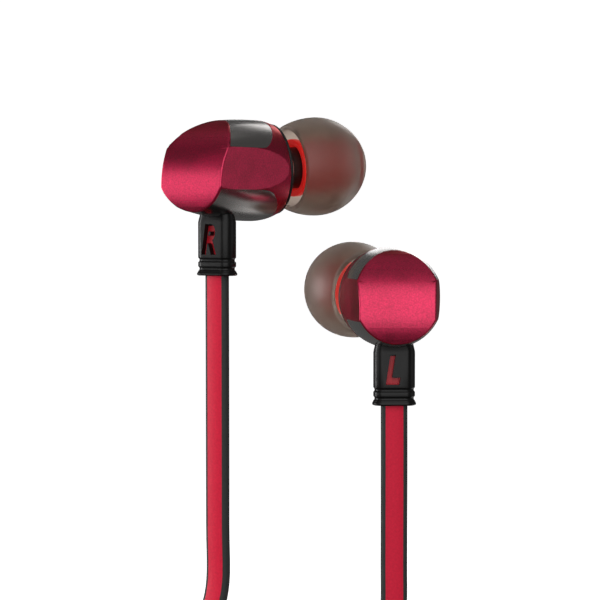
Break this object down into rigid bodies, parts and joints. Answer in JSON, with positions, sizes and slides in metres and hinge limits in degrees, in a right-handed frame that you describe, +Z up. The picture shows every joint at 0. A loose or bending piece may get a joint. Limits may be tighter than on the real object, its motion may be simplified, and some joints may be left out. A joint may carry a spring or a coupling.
{
  "type": "wired in-ear earphones",
  "caption": "Wired in-ear earphones with angled metal housings, two-colour silicone tips, rubber cord boots, a flat two-tone cord, splitter and stereo plug.",
  "frame": {"origin": "centre of the largest circle of the right ear tip, which is where the part is held", "axes": "+Z up, with the cords hanging down; +Y from the backs of the housings towards the ears; +X from the right earpiece to the left one"},
  "size_m": [0.05, 0.0292, 0.1215],
  "materials": {
    "anodised_cover": "satin anodised red, fine grain",
    "polished_barrel": "polished dark grey",
    "gasket_rubber": "matt black",
    "black_plastic": "semi-gloss black",
    "bright_ring": "bright",
    "screen_steel": "fine perforated steel",
    "tip_core_silicone": "glossy red silicone",
    "tip_dome_silicone": "translucent smoky silicone",
    "driver_steel": "plain steel",
    "driver_magnet": "nickel plated",
    "coil_wire": "copper winding",
    "diaphragm_film": "thin film",
    "board": "green board with tinned pads",
    "boot_rubber": "satin black",
    "boot_core_rubber": "satin red",
    "cord_sheath": "satin, red middle stripe and charcoal edges",
    "splitter_rubber": "satin black",
    "tie_rubber": "matt black",
    "plug_rubber": "satin black",
    "plug_contact": "gold plated",
    "insulator": "black"
  },
  "bodies": {
    "headset": {"right_cover": "anodised_cover", "right_barrel": "polished_barrel", "right_front_gasket": "gasket_rubber", "right_front_cap": "black_plastic", "right_nozzle": "black_plastic", "right_nozzle_ring": "bright_ring", "right_sound_screen": "screen_steel", "right_driver_cup": "driver_steel", "right_driver_magnet": "driver_magnet", "right_driver_plate": "driver_steel", "right_voice_coil": "coil_wire", "right_diaphragm": "diaphragm_film", "right_terminal_board": "board", "right_boot": "boot_rubber", "right_boot_core": "boot_core_rubber", "left_cover": "anodised_cover", "left_barrel": "polished_barrel", "left_front_gasket": "gasket_rubber", "left_front_cap": "black_plastic", "left_nozzle": "black_plastic", "left_nozzle_ring": "bright_ring", "left_sound_screen": "screen_steel", "left_driver_cup": "driver_steel", "left_driver_magnet": "driver_magnet", "left_driver_plate": "driver_steel", "left_voice_coil": "coil_wire", "left_diaphragm": "diaphragm_film", "left_terminal_board": "board", "left_boot": "boot_rubber", "left_boot_core": "boot_core_rubber", "right_cord": "cord_sheath", "right_cord_coil": "cord_sheath", "left_cord": "cord_sheath", "left_cord_coil": "cord_sheath", "main_cord_coil": "cord_sheath", "main_cord_tail": "cord_sheath", "splitter": "splitter_rubber", "coil_tie": "tie_rubber", "plug_relief": "plug_rubber", "plug_grip": "plug_rubber", "plug_sleeve": "plug_contact", "plug_ring": "plug_contact", "plug_tip": "plug_contact", "plug_insulators": "insulator"},
    "right_tip": {"right_tip_core": "tip_core_silicone", "right_tip_dome": "tip_dome_silicone"},
    "left_tip": {"left_tip_core": "tip_core_silicone", "left_tip_dome": "tip_dome_silicone"}
  },
  "joints": [
    {"name": "right_tip_pull", "type": "slide", "parent": "headset", "child": "right_tip", "axis": [0.8808, 0.4683, 0.0698], "range_m": [0, 0.006]},
    {"name": "left_tip_pull", "type": "slide", "parent": "headset", "child": "left_tip", "axis": [-0.4836, 0.8725, 0.0698], "range_m": [0, 0.006]}
  ]
}
